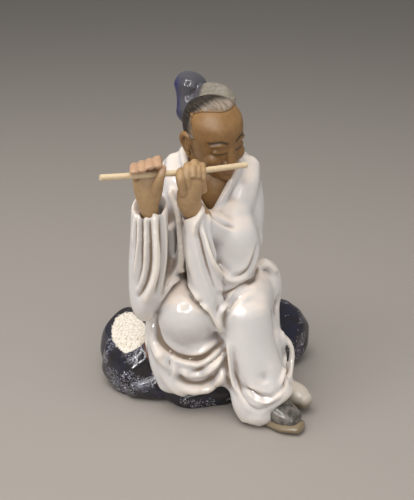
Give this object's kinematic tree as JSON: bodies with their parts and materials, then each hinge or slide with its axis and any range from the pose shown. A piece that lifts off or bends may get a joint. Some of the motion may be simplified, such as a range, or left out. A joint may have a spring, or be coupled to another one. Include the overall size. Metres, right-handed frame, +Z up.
{
  "type": "mudman figurine",
  "caption": "Glazed pottery figurine of a robed youth with a topknot, seated on a dark rock and playing a separate transverse flute.",
  "frame": {"origin": "on the table, at the flat underside of the rock, under the middle of the figure", "axes": "+Z up, the figure seated facing -Y, +X to the viewer's right"},
  "size_m": [0.1541, 0.1317, 0.2198],
  "materials": {
    "white_glaze": "glossy milky white glaze, peach-tan where it thins on ridges, grey-lavender in hollows",
    "dark_glaze": "glossy blue-black glaze, with whitish speckle on the rock",
    "bare_clay": "unglazed tan-brown fired clay, satin",
    "bamboo": "pale split bamboo, satin"
  },
  "bodies": {
    "root": {"figurine": "white_glaze", "flute": "bamboo"}
  },
  "joints": []
}
